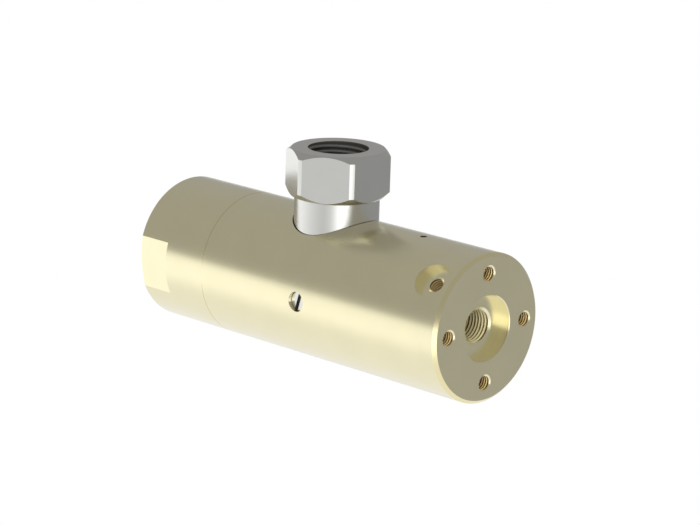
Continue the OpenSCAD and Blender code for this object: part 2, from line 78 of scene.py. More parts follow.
CAD_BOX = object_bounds()
MM = 0.001
# Points of a mesh that are nearer than this, in millimetres, become one
MERGE_MM = 0.002
# Millimetres by which a cutter or a blank reaches past what it cuts
PAST = 1
SIDES = 96
HEX_SIDES = 6
RIDGE_SIDES = 4
WIRE_SIDES = 16
STEPS_PER_TURN = 48
SMOOTH_ANGLE = math.radians(40)
EDGE_ANGLE = math.radians(30)
NUT_EDGE_ANGLE = math.radians(20)
HALF_TURN = 180
# Nearest and farthest distance in metres that the camera shows
CAMERA_REACH = (0.01, 100.0)

# Azimuth in degrees and brightness of the walls and softboxes that reflections see below the horizon
STUDIO_WALL = (
    (-180, 1.15), (-157, 1.25), (-140, 1.12), (-112, 0.9), (-80, 0.72), (-60, 0.9), (-48, 1.35),
    (-40, 1.75), (-12, 1.75), (-5, 0.5), (10, 0.38), (30, 0.355), (110, 0.34), (150, 1.1), (180, 1.2),
)
# Strength of the world, above which no wall may be
WALL_PEAK = 2.0
# Brightness of the floor in reflections, and the slopes between which it takes over from the walls
FLOOR_GLOW = 0.86
FLOOR_FADE = (-0.32, -0.62)
PAPER = (0.9, 0.9, 0.9, 1)
WHITE = (1, 1, 1, 1)
LAMP_PLACE = (0.55, -0.85, 0.65)
LAMP_AIM = (-0.07, 0, 0)
LAMP_SIZE = 0.8

# Range of the noise that is used, the tone of its clouds and how far it moves the gloss
NOISE_RANGE = (0.3, 0.7)
CLOUD_TONE = (0.97, 0.97, 0.97)
GLOSS_WANDER = 0.015
# Extra roughness in the threads, and the tone of the painted shade in the grooves beside the crests
THREAD_ROUGHNESS = 0.18
GROOVE_PAINTED_SHADE = (0.1, 0.07, 0.01)
# Shares of a thread's depth over which the groove's painted shade sets in
BOLT_RAMP = (0.14, 0.5)
PILOT_RAMP = (-0.1, 0.25)
SUPPLY_RAMP = (0.3, 0.6)
BRANCH_RAMP = (0.4, 1.1)
# How metallic the body's threads, the nut's thread and the screw's slot look
BODY_THREAD_METAL = 0.1
NUT_THREAD_METAL = 0.5
SLOT_METAL = 1.0
# Depths in millimetres of the thread grooves
SMALL_GROOVE = 0.6
SUPPLY_GROOVE = 0.93
BRANCH_GROOVE = 1.42
# Millimetres from a thread's mouth to the start of its tone, and from its end to the tone's end
THREAD_LEAD = 0.55
THREAD_RUNOUT = 0.4
# Height in millimetres of the nut's mouth above its mount, and depth of the four tapped holes
NUT_MOUTH = 0.87
BOLT_DEPTH = 12
# The seam's middle, axis, radius and half length in metres, and the tone of the painted shade along it
SEAM = ((-0.113, 0, 0), (1, 0, 0), 0.03, 0.25 * MM)
SEAM_PAINTED_SHADE = (0.86, 0.84, 0.7)
# The front edge's middle, axis, inner and outer radius and half length in metres, and the tint of the
# painted reflection on it
FRONT_EDGE = ((0, 0, 0), (1, 0, 0), 0.0248, 0.03, 1.2 * MM)
EDGE_PAINTED_REFLECTION = (0.98, 0.95, 0.83)
# Gloss, grain and clouds of drawn wire and screws
BRIGHT_STEEL = {"roughness": 0.2, "grain_mm": 0.5, "cloud_mm": 4.0}


def linear_rgb(hex_colour):
    """Linear red, green and blue of an sRGB hex colour."""
    channels = [int(hex_colour[i : i + 2], 16) / 255 for i in (1, 3, 5)]
    return [c / 12.92 if c <= 0.04045 else ((c + 0.055) / 1.055) ** 2.4 for c in channels]


def colour_property(name, description, hex_colour):
    """A colour that a user can change, given as an sRGB hex value."""
    return FloatVectorProperty(
        name=name, description=description, subtype="COLOR", size=3, min=0, max=1,
        default=linear_rgb(hex_colour),
    )


class CameraSettings(PropertyGroup):
    """Where the camera stands and how it looks at the connector."""

    azimuth: FloatProperty(
        name="Azimuth", description="Turn of the view round the upright axis", subtype="ANGLE",
        default=math.radians(43.996),
    )
    elevation: FloatProperty(
        name="Elevation", description="Height of the view above the level", subtype="ANGLE",
        default=math.radians(14.481),
    )
    roll: FloatProperty(
        name="Roll", description="Turn of the camera about its own axis", subtype="ANGLE",
        default=math.radians(1.787),
    )
    place: FloatVectorProperty(
        name="Place", description="Where the camera stands", subtype="TRANSLATION", unit="LENGTH",
        default=(0.58698, -0.67494, 0.25219),
    )
    lens: FloatProperty(name="Lens", description="Focal length in millimetres", default=142.45)
    sensor: FloatProperty(name="Sensor", description="Width of the sensor in millimetres", default=36.0)


class StageSettings(PropertyGroup):
    """The floor, the walls of the studio and the lamp round the connector."""

    floor_drop: FloatProperty(
        name="Floor drop", description="Height of the connector's lowest point above the floor",
        unit="LENGTH", default=0.35,
    )
    floor_size: FloatProperty(
        name="Floor size", description="Side of the floor", unit="LENGTH", default=40.0
    )
    floor_level: FloatProperty(
        name="Floor level", description="Brightness of the floor in the picture", default=1.0
    )
    sky: colour_property("Sky", "Colour of the dim ceiling of the studio", "#A1A09F")
    softness: FloatProperty(
        name="Softness", description="Angle over which the pale walls fade into the ceiling",
        subtype="ANGLE", default=math.radians(5),
    )
    lamp_power: FloatProperty(
        name="Lamp power", description="Power of the soft lamp in watts", default=11.0
    )


class NutSettings(PropertyGroup):
    """Sizes of the swivel nut that its construction node doesn't give, in millimetres."""

    rim_inset: FloatProperty(
        name="Rim inset", description="Inset of the end chamfers from the flats", default=0.3
    )
    top_drop: FloatProperty(
        name="Top drop", description="Height of the top chamfer at a corner", default=1.95
    )
    bottom_drop: FloatProperty(name="Bottom drop", description="Height of the bottom chamfer", default=2.3)
    neck_r: FloatProperty(name="Neck radius", description="Radius of the bore on the neck", default=11.85)
    seat_gap: FloatProperty(name="Seat gap", description="Gap under the gasket", default=0.2)
    relief: FloatProperty(name="Relief", description="Plain length over the gasket", default=0.5)
    blank_share: FloatProperty(
        name="Blank share", description="Height of the hexagonal blank in nut heights", default=1.2
    )
    thread_r: FloatProperty(
        name="Thread radius", description="Radius at the thread's roots", default=10.48
    )
    crest_r: FloatProperty(
        name="Crest radius", description="Radius at the thread's crests", default=9.32
    )
    root: FloatProperty(
        name="Root", description="How far the thread's ridge is sunk in the bore", default=0.15
    )
    pitch: FloatProperty(name="Pitch", description="Pitch of the nut's thread", default=1.814)
    ridge: FloatProperty(name="Ridge", description="Share of the pitch that the ridge takes", default=0.94)
    first_turn: FloatProperty(
        name="First turn", description="Share of the pitch before the first turn", default=0.3
    )
    last_turn: FloatProperty(
        name="Last turn", description="Share of the pitch after the last turn", default=0.5
    )
    lead_in: FloatProperty(name="Lead-in", description="Extra radius of the mouth", default=0.25)
    edge: FloatProperty(name="Edge", description="Width of the broken edges", default=0.12)


class ScrewSettings(PropertyGroup):
    """Sizes of the locating screw in millimetres."""

    radius: FloatProperty(name="Radius", description="Radius of the screw", default=3.45)
    chamfer: FloatProperty(name="Chamfer", description="Chamfer round the slotted end", default=0.25)
    slot: FloatProperty(name="Slot", description="Width of the slot", default=1.45)
    slot_depth: FloatProperty(name="Slot depth", description="Depth of the slot", default=2.2)
    slot_reach: FloatProperty(
        name="Slot reach", description="Length of the slot's cutter in screw radii", default=3
    )
    slot_turn: FloatProperty(
        name="Slot turn", description="Turn of the slot from the body's axis", subtype="ANGLE",
        default=math.radians(73),
    )
    dog_r: FloatProperty(name="Dog radius", description="Radius of the plain end", default=2.2)
    dog_length: FloatProperty(name="Dog length", description="Length of the plain end", default=2.5)
    dog_chamfer: FloatProperty(name="Dog chamfer", description="Chamfer of the plain end", default=0.3)
    edge: FloatProperty(name="Edge", description="Width of the broken edges", default=0.08)
    # Depth below the screw's face where the slot's painted shade starts
    bright_depth: FloatProperty(
        name="Bright depth", description="How far the bright face reaches into the slot", default=0.12
    )


class GasketSettings(PropertyGroup):
    """Sizes of the face gasket in millimetres."""

    width: FloatProperty(name="Width", description="Width of the ring", default=2.8)
    edge: FloatProperty(name="Edge", description="Width of the rounded edges", default=0.25)
    segments: IntProperty(name="Segments", description="Faces across a rounded edge", default=3)


class SpringSettings(PropertyGroup):
    """Sizes of the return spring in millimetres."""

    radius: FloatProperty(name="Coil radius", description="Radius of the wire's middle line", default=13.0)
    wire: FloatProperty(name="Wire", description="Thickness of the wire", default=2.4)
    turns: IntProperty(name="Turns", description="Turns of the spring, the two closed ones too", default=5)


class SpreaderSettings(PropertyGroup):
    """Sizes of the ring that spreads the jaws."""

    wire: FloatProperty(name="Wire", description="Thickness of the wire in millimetres", default=0.85)
    opening: FloatProperty(
        name="Opening", description="Angle of the gap in the ring", subtype="ANGLE",
        default=math.radians(30),
    )


class FinishSettings(PropertyGroup):
    """Colours of the metals, rubbers and plastics."""

    champagne: colour_property("Champagne aluminium", "Base colour of the body and the nose cap", "#FDF5CC")
    steel: colour_property("Satin steel", "Base colour of the nut, boss and piston", "#DCDCD8")
    bright: colour_property("Bright steel", "Base colour of screw, springs and wires", "#E4E4E2")
    hard_steel: colour_property("Hardened steel", "Base colour of the jaws", "#8B8C8F")
    brass: colour_property("Brass", "Base colour of the flow block", "#D9B45E")
    black_rubber: colour_property("Black rubber", "Base colour of the O-rings", "#1D1D1E")
    green_rubber: colour_property("Green rubber", "Base colour of the main seal and the gasket", "#33523A")
    white_plastic: colour_property("White plastic", "Base colour of the guide ring", "#EDEAE0")
    # Painted reflection: warm colours inside the tapped holes and the supply port, on a mostly diffuse
    # finish, stand in for the reflections inside them
    thread_painted_reflection_gold: colour_property("Tapped thread painted reflection", "Base colour inside the small tapped holes", "#FFE096")
    thread_painted_reflection_cream: colour_property("Supply thread painted reflection", "Base colour inside the supply port", "#FFF2BC")
    # Painted shade: a darker colour in the screw's slot stands in for the shade inside it
    slot_painted_shade: colour_property("Slot painted shade", "Base colour inside the locating screw's slot", "#B6B7AA")
    # Painted shade: a darker colour on the nut's thread stands in for the shade in its deep bore
    nut_thread_painted_shade: colour_property("Nut thread painted shade", "Base colour of the nut's thread", "#6E6E6B")


def add_node(tree, kind, settings=None, links=None):
    """Adds a node; settings go to its properties or inputs, and links join its inputs to other sockets."""
    node = tree.nodes.new(kind)
    for key, value in (settings or {}).items():
        if isinstance(key, str) and hasattr(node, key):
            setattr(node, key, value)
        else:
            node.inputs[key].default_value = value
    for key, socket in (links or {}).items():
        tree.links.new(socket, node.inputs[key])
    return node


def new_material(name):
    """An empty node material and its tree."""
    material = bpy.data.materials.new(name)
    material.use_nodes = True
    material.node_tree.nodes.clear()
    return material, material.node_tree


def finish_material(material, tree, shader_socket):
    """Joins the shader to the material's output."""
    add_node(tree, "ShaderNodeOutputMaterial", {}, {"Surface": shader_socket})
    return material


def grain(tree, place, size_mm, detail=3.0):
    """Noise whose grains are about size_mm wide."""
    settings = {"Scale": 1 / (size_mm * MM), "Detail": detail}
    return add_node(tree, "ShaderNodeTexNoise", settings, {"Vector": place}).outputs["Fac"]


def map_range(tree, value, start, end, low=0.0, high=1.0, steps="LINEAR"):
    """Maps a value that runs from start to end to the range from low to high."""
    settings = {
        "interpolation_type": steps, "From Min": start, "From Max": end, "To Min": low, "To Max": high,
    }
    return add_node(tree, "ShaderNodeMapRange", settings, {"Value": value}).outputs["Result"]


def calculate(tree, operation, *terms, kind="ShaderNodeMath", result="Value"):
    """The result of a math node, whose terms are values or other nodes' sockets."""
    settings, links = {"operation": operation}, {}
    for number, term in enumerate(terms):
        (links if isinstance(term, bpy.types.NodeSocket) else settings)[number] = term
    return add_node(tree, kind, settings, links).outputs[result]


def calculate_vector(tree, operation, *terms, result="Vector"):
    """The result of a vector math node."""
    return calculate(tree, operation, *terms, kind="ShaderNodeVectorMath", result=result)


def blend_colours(tree, factor, first, second):
    """Mixes two colours, each a colour value or a socket; the node's colour sockets go by number."""
    mix = add_node(tree, "ShaderNodeMix", {"data_type": "RGBA"}, {"Factor": factor})
    for socket, colour in ((mix.inputs[6], first), (mix.inputs[7], second)):
        if isinstance(colour, bpy.types.NodeSocket):
            tree.links.new(colour, socket)
        else:
            socket.default_value = (*colour, 1)
    return mix.outputs[2]


def bump_from(tree, height, strength, grain_mm):
    """A fine relief from a noise value."""
    settings = {"Strength": strength, "Distance": grain_mm * MM}
    return add_node(tree, "ShaderNodeBump", settings, {"Height": height}).outputs["Normal"]


def tinted(colour, tone):
    """A colour multiplied by a tone."""
    return [c * t for c, t in zip(colour, tone)]


def inside_bore(tree, place, middle, axis, radius, half_length):
    """1 within a bore round the middle point and 0 elsewhere, and the distance from the bore's axis."""
    offset = calculate_vector(tree, "SUBTRACT", place, middle)
    across = calculate_vector(tree, "CROSS_PRODUCT", offset, axis)
    away = calculate_vector(tree, "LENGTH", across, result="Value")
    along = calculate_vector(tree, "DOT_PRODUCT", offset, axis, result="Value")
    near_axis = calculate(tree, "LESS_THAN", away, radius)
    in_span = calculate(tree, "LESS_THAN", calculate(tree, "ABSOLUTE", along), half_length)
    return calculate(tree, "MULTIPLY", near_axis, in_span), away


def named(entries, name):
    """The entry of a list in the record that has this name."""
    return next(entry for entry in entries if entry["name"] == name)


def port_bore(name, groove_mm, lead_mm=THREAD_LEAD):
    """Middle, axis, crest radius, groove depth and half length of a port's thread in metres."""
    mount = named(frame["record"]["mounts"], name)
    length = mount["dims"]["length_mm"] - lead_mm + THREAD_RUNOUT
    shift = (lead_mm + THREAD_RUNOUT) / 2 * MM
    middle = [place - shift * way for place, way in zip(mount["pos_m"], mount["axis"])]
    return middle, mount["axis"], mount["dims"]["r_mm"] * MM, groove_mm * MM, length / 2 * MM


def bolt_bores():
    """The same as port_bore for each of the four tapped holes round the front port."""
    sizes = named(frame["record"]["mounts"], "front_bolts")["dims"]
    reach = sizes["pcd_mm"] / 2 * MM
    bores = []
    for turn in range(sizes["count"]):
        angle = turn * 2 * math.pi / sizes["count"]
        middle = (-(THREAD_LEAD + BOLT_DEPTH) / 2 * MM, reach * math.cos(angle), reach * math.sin(angle))
        half_length = (BOLT_DEPTH - THREAD_LEAD) / 2 * MM
        bores.append((middle, (1, 0, 0), sizes["hole_r_mm"] * MM, SMALL_GROOVE * MM, half_length))
    return bores


def metal(
    name, colour, roughness, grain_mm, cloud_mm, coat=0.0, relief=0.02, threads=(), seam=None, edge=None
):
    """A satin metal with fine grain and slow clouds of shade, and with painted light and shade in threads,
    seam and edge.

    Each thread is its bore as port_bore gives it, its colour of painted light, how metallic it is and the
    ramp of its painted groove shade.
    """
    material, tree = new_material(name)
    place = add_node(tree, "ShaderNodeTexCoord").outputs["Object"]
    fine = grain(tree, place, grain_mm)
    cloud = map_range(tree, grain(tree, place, cloud_mm), *NOISE_RANGE)
    shade = blend_colours(tree, cloud, tinted(colour, CLOUD_TONE), colour)
    rough = map_range(tree, fine, *NOISE_RANGE, roughness - GLOSS_WANDER, roughness + GLOSS_WANDER)
    shine = 1.0
    for (middle, axis, crest_r, depth, half_length), thread_painted_light, thread_metal, ramp in threads:
        # Painted light in each bore: the thread's painted colour on the crests, turning to painted groove
        # shade away from the axis
        within, away = inside_bore(tree, place, middle, axis, crest_r + depth, half_length)
        deep = map_range(tree, away, *(crest_r + share * depth for share in ramp))
        tone = blend_colours(tree, deep, thread_painted_light, tinted(thread_painted_light, GROOVE_PAINTED_SHADE))
        shade = blend_colours(tree, within, shade, tone)
        rough = calculate(tree, "MULTIPLY_ADD", within, THREAD_ROUGHNESS, rough)
        shine = calculate(tree, "MULTIPLY_ADD", within, thread_metal - 1, shine)
    if seam:
        # Painted shade along the seam between the body and the nose cap
        within, _ = inside_bore(tree, place, *seam)
        shade = blend_colours(tree, within, shade, tinted(colour, SEAM_PAINTED_SHADE))
    if edge:
        # Painted reflection: a yellower tint on the ring of the front edge's chamfer
        middle, axis, inner_r, outer_r, half_length = edge
        slab, _ = inside_bore(tree, place, middle, axis, outer_r, half_length)
        face, _ = inside_bore(tree, place, middle, axis, inner_r, half_length)
        painted_reflection_band = calculate(tree, "SUBTRACT", slab, face)
        shade = blend_colours(tree, painted_reflection_band, shade, tinted(colour, EDGE_PAINTED_REFLECTION))
    settings = {"Coat Weight": coat, "Coat Roughness": roughness}
    links = {"Base Color": shade, "Roughness": rough, "Normal": bump_from(tree, fine, relief, grain_mm)}
    (links if threads else settings)["Metallic"] = shine
    shader = add_node(tree, "ShaderNodeBsdfPrincipled", settings, links)
    return finish_material(material, tree, shader.outputs["BSDF"])


def dull(name, colour, roughness, grain_mm, strength=0.2, tint=0.15):
    """A moulded rubber or plastic: fine grain and small changes of shade, no metal."""
    material, tree = new_material(name)
    place = add_node(tree, "ShaderNodeTexCoord").outputs["Object"]
    fine = grain(tree, place, grain_mm)
    shade = blend_colours(tree, map_range(tree, fine, *NOISE_RANGE), tinted(colour, [1 - tint] * 3), colour)
    links = {"Base Color": shade, "Normal": bump_from(tree, fine, strength, grain_mm)}
    shader = add_node(tree, "ShaderNodeBsdfPrincipled", {"Roughness": roughness}, links)
    return finish_material(material, tree, shader.outputs["BSDF"])


def deselect():
    """Leaves edit mode with nothing selected."""
    if bpy.context.mode != "OBJECT":
        bpy.ops.object.mode_set(mode="OBJECT")
    bpy.ops.object.select_all(action="DESELECT")


def select(piece, *others):
    """Selects a piece, alone or with others, and makes it the active one."""
    deselect()
    for chosen in (piece, *others):
        chosen.select_set(True)
    bpy.context.view_layer.objects.active = piece


def turned(name, profile, ring=False):
    """A turned piece about Z through (radius, height) points in mm; a ring ends at its first point."""
    deselect()
    radius, height = profile[0]
    bpy.ops.mesh.primitive_circle_add(
        vertices=SIDES, radius=radius * MM, location=(0, 0, height * MM),
        fill_type="NOTHING" if ring else "NGON",
    )
    piece = bpy.context.object
    piece.name = name
    bpy.ops.object.mode_set(mode="EDIT")
    bpy.ops.mesh.select_all(action="SELECT")
    for next_radius, next_height in profile[1:] + (profile[:1] if ring else []):
        rise = (0, 0, (next_height - height) * MM)
        bpy.ops.mesh.extrude_region_move(TRANSFORM_OT_translate={"value": rise})
        scale = next_radius / radius
        bpy.ops.transform.resize(value=(scale, scale, 1), center_override=(0, 0, next_height * MM))
        radius, height = next_radius, next_height
    bpy.ops.mesh.select_all(action="SELECT")
    bpy.ops.mesh.remove_doubles(threshold=MERGE_MM * MM)
    bpy.ops.mesh.normals_make_consistent(inside=False)
    bpy.ops.object.mode_set(mode="OBJECT")
    bpy.ops.object.transform_apply(location=True, rotation=True, scale=True)
    return piece


def wound(name, radius, sides, width, height, pitch, turns, low):
    """A wire or thread ridge wound about Z, with an oval section; sizes in millimetres."""
    deselect()
    bpy.ops.mesh.primitive_circle_add(
        vertices=sides, radius=MM / 2, rotation=(math.pi / 2, 0, 0), location=(radius * MM, 0, low * MM)
    )
    piece = bpy.context.object
    piece.name = name
    bpy.ops.object.mode_set(mode="EDIT")
    bpy.ops.mesh.select_all(action="SELECT")
    bpy.ops.transform.resize(value=(width, 1, height), center_override=(radius * MM, 0, low * MM))
    bpy.ops.object.mode_set(mode="OBJECT")
    bpy.ops.object.transform_apply(location=True, rotation=True, scale=True)
    screw = piece.modifiers.new("winding", "SCREW")
    screw.axis = "Z"
    screw.angle = 2 * math.pi * turns
    screw.screw_offset = pitch * turns * MM
    screw.steps = screw.render_steps = int(STEPS_PER_TURN * turns)
    screw.use_smooth_shade = True
    bpy.ops.object.modifier_apply(modifier=screw.name)
    bpy.ops.object.mode_set(mode="EDIT")
    bpy.ops.mesh.select_all(action="SELECT")
    bpy.ops.mesh.remove_doubles(threshold=MERGE_MM * MM)
    bpy.ops.mesh.fill_holes(sides=0)
    bpy.ops.mesh.normals_make_consistent(inside=False)
    bpy.ops.object.mode_set(mode="OBJECT")
    return piece


def carve(piece, cutter, operation):
    """Cuts, joins or intersects a piece with a cutter, which is used up."""
    select(piece)
    boolean = piece.modifiers.new(operation.lower(), "BOOLEAN")
    boolean.operation = operation
    boolean.object = cutter
    boolean.solver = "EXACT"
    bpy.ops.object.modifier_apply(modifier=boolean.name)
    bpy.data.objects.remove(cutter)


def break_edges(piece, width, limit=EDGE_ANGLE, segments=2):
    """Rounds a piece's edges that are sharper than the limit and smooths the shading between them."""
    select(piece)
    bevel = piece.modifiers.new("broken_edges", "BEVEL")
    bevel.width = width * MM
    bevel.segments = segments
    bevel.limit_method = "ANGLE"
    bevel.angle_limit = limit
    bpy.ops.object.modifier_apply(modifier=bevel.name)
    bpy.ops.object.shade_smooth_by_angle(angle=SMOOTH_ANGLE)
    weighted = piece.modifiers.new("flat_faces_stay_flat", "WEIGHTED_NORMAL")
    weighted.keep_sharp = True
    bpy.ops.object.modifier_apply(modifier=weighted.name)


def join(piece, others):
    """Puts other pieces into the mesh of one piece."""
    select(piece, *others)
    bpy.ops.object.join()


def settle(piece, place, turn=(0, 0, 0)):
    """Moves a finished piece from the origin to its place, in its mesh."""
    select(piece)
    piece.location = place
    piece.rotation_euler = turn
    bpy.ops.object.transform_apply(location=True, rotation=True, scale=True)


def node_box(name):
    """Lowest and highest corner of a construction node."""
    places = [vertex.co for vertex in frame["nodes"][name].data.vertices]
    return [Vector([pick(place[i] for place in places) for i in range(3)]) for pick in (min, max)]


def hand_over(piece, body, node, material):
    """Gives a finished piece its body, the node it stands for and its material."""
    piece.data.materials.clear()
    piece.data.materials.append(bpy.data.materials[material])
    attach(piece, body)
    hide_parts(node)


def dress(node_name, material):
    """Gives a construction node its finish."""
    node = frame["nodes"][node_name]
    node.data.materials.clear()
    node.data.materials.append(material)


class CONNECTOR_OT_camera(Operator):
    """Sets up the camera at the photograph's viewing angle"""

    bl_idname = "connector.camera"
    bl_label = "Camera"

    def execute(self, context):
        settings = context.scene.connector_camera
        data = bpy.data.cameras.new("camera")
        data.lens = settings.lens
        data.sensor_width = settings.sensor
        data.clip_start, data.clip_end = CAMERA_REACH
        camera = bpy.data.objects.new("camera", data)
        context.scene.collection.objects.link(camera)
        turn = (
            Matrix.Rotation(settings.azimuth, 4, "Z")
            @ Matrix.Rotation(math.pi / 2 - settings.elevation, 4, "X")
            @ Matrix.Rotation(settings.roll, 4, "Z")
        )
        camera.matrix_world = Matrix.Translation(settings.place) @ turn
        context.scene.camera = camera
        return {"FINISHED"}


class CONNECTOR_OT_stage(Operator):
    """Builds the pale floor, the studio's walls and ceiling and the soft lamp"""

    bl_idname = "connector.stage"
    bl_label = "Stage"

    def execute(self, context):
        settings = context.scene.connector_stage
        context.scene.view_settings.view_transform = "Standard"
        self.add_studio(context, settings)
        self.add_floor(settings)
        self.add_lamp(context, settings)
        return {"FINISHED"}

    def add_studio(self, context, settings):
        """A dim ceiling over pale walls, and plain white where the camera looks past the floor."""
        world = bpy.data.worlds.new("studio")
        world.use_nodes = True
        tree = world.node_tree
        tree.nodes.clear()
        way = add_node(tree, "ShaderNodeTexCoord").outputs["Generated"]
        parts = add_node(tree, "ShaderNodeSeparateXYZ", {}, {"Vector": way}).outputs
        azimuth = calculate(tree, "ARCTAN2", parts["Y"], parts["X"])
        turn = map_range(tree, azimuth, -math.pi, math.pi)
        wall = add_node(tree, "ShaderNodeValToRGB", {}, {"Fac": turn})
        stops = wall.color_ramp.elements
        while len(stops) > 1:
            stops.remove(stops[-1])
        for number, (angle, level) in enumerate(STUDIO_WALL):
            position = (angle + HALF_TURN) / (2 * HALF_TURN)
            stop = stops[0] if number == 0 else stops.new(position)
            stop.position = position
            stop.color = (*[level / WALL_PEAK] * 3, 1)
        down = map_range(tree, parts["Z"], *FLOOR_FADE, steps="SMOOTHSTEP")
        lit = blend_colours(tree, down, wall.outputs["Color"], [FLOOR_GLOW / WALL_PEAK] * 3)
        fade = math.sin(settings.softness) / 2
        up = map_range(tree, parts["Z"], -fade, fade, steps="SMOOTHSTEP")
        colour = blend_colours(tree, up, lit, [c / WALL_PEAK for c in settings.sky])
        seen = add_node(tree, "ShaderNodeLightPath").outputs["Is Camera Ray"]
        colour = blend_colours(tree, seen, colour, [1 / WALL_PEAK] * 3)
        glow = add_node(tree, "ShaderNodeBackground", {"Strength": WALL_PEAK}, {"Color": colour})
        add_node(tree, "ShaderNodeOutputWorld", {}, {"Surface": glow.outputs["Background"]})
        context.scene.world = world

    def add_floor(self, settings):
        """A wide floor under the connector, left out of the reflections, which see the studio's instead."""
        level = CAD_BOX[0][2] - settings.floor_drop
        deselect()
        bpy.ops.mesh.primitive_plane_add(size=settings.floor_size, location=(0, 0, level))
        floor = bpy.context.object
        floor.name = "floor"
        floor.data.materials.append(self.floor_material(settings))
        floor.visible_glossy = False

    def floor_material(self, settings):
        """White paper: plain white in the picture, a plain diffuse surface for all other light."""
        material, tree = new_material("white_paper_floor")
        seen = add_node(tree, "ShaderNodeLightPath").outputs["Is Camera Ray"]
        paper = add_node(tree, "ShaderNodeBsdfDiffuse", {"Color": PAPER})
        glow = add_node(tree, "ShaderNodeEmission", {"Color": WHITE, "Strength": settings.floor_level})
        links = {0: seen, 1: paper.outputs["BSDF"], 2: glow.outputs["Emission"]}
        mix = add_node(tree, "ShaderNodeMixShader", {}, links)
        return finish_material(material, tree, mix.outputs["Shader"])

    def add_lamp(self, context, settings):
        """A soft round lamp from the front left that shows in no reflection."""
        data = bpy.data.lights.new("soft_lamp", "AREA")
        data.shape = "DISK"
        data.size = LAMP_SIZE
        data.energy = settings.lamp_power
        lamp = bpy.data.objects.new("soft_lamp", data)
        lamp.location = LAMP_PLACE
        lamp.rotation_euler = (Vector(LAMP_AIM) - lamp.location).to_track_quat("-Z", "Y").to_euler()
        lamp.visible_glossy = False
        context.scene.collection.objects.link(lamp)


class CONNECTOR_OT_finishes(Operator):
    """Gives every construction node the finish of its real material"""

    bl_idname = "connector.finishes"
    bl_label = "Finishes"

    def execute(self, context):
        colours = context.scene.connector_finish
        # Painted reflection in the body's bores, with painted shade in their grooves and on the nut's
        # thread
        gold, cream = colours.thread_painted_reflection_gold, colours.thread_painted_reflection_cream
        threads = [(bore, gold, BODY_THREAD_METAL, BOLT_RAMP) for bore in bolt_bores()]
        threads.append((port_bore("pilot_port", SMALL_GROOVE), gold, BODY_THREAD_METAL, PILOT_RAMP))
        threads.append((port_bore("supply_port", SUPPLY_GROOVE), cream, BODY_THREAD_METAL, SUPPLY_RAMP))
        nut_bore = port_bore("branch_port", BRANCH_GROOVE, -NUT_MOUTH)
        nut_thread = (nut_bore, colours.nut_thread_painted_shade, NUT_THREAD_METAL, BRANCH_RAMP)
        materials = {
            # Satin, pale gold skin that mirrors the studio softly, with painted reflection gold in the
            # tapped holes, painted shade in their grooves and at the seam, and a painted reflection tint on
            # the front edge
            "body_metal": metal(
                "champagne_anodised_aluminium", colours.champagne, roughness=0.25, grain_mm=0.3,
                cloud_mm=12.0, coat=1.0, threads=threads, seam=SEAM, edge=FRONT_EDGE,
            ),
            # Cool grey turned surfaces with crisp highlights, and painted shade on the thread in the nut
            "satin_steel": metal(
                "satin_turned_steel", colours.steel, roughness=0.24, grain_mm=0.3, cloud_mm=9.0,
                relief=0.035, threads=[nut_thread],
            ),
            # Brighter, smoother drawn wire and screws
            "spring_steel": metal("bright_drawn_steel", colours.bright, **BRIGHT_STEEL),
            # Dark ground faces of the jaws
            "hard_steel": metal(
                "hardened_ground_steel", colours.hard_steel, roughness=0.3, grain_mm=0.4, cloud_mm=4.0
            ),
            # Yellow turned metal
            "brass": metal("turned_brass", colours.brass, roughness=0.22, grain_mm=0.4, cloud_mm=6.0),
            # Matt black with a soft sheen
            "black_rubber": dull(
                "moulded_nitrile_rubber", colours.black_rubber, roughness=0.55, grain_mm=0.3
            ),
            # Matt dark green
            "green_rubber": dull(
                "moulded_green_rubber", colours.green_rubber, roughness=0.5, grain_mm=0.3
            ),
            # Warm white, slightly glossy
            "white_plastic": dull(
                "turned_white_plastic", colours.white_plastic, roughness=0.45, grain_mm=0.3,
                strength=0.1, tint=0.05,
            ),
        }
        for part in frame["record"]["subparts"]:
            dress(part["node"], materials[part["material_slot"]])
        return {"FINISHED"}


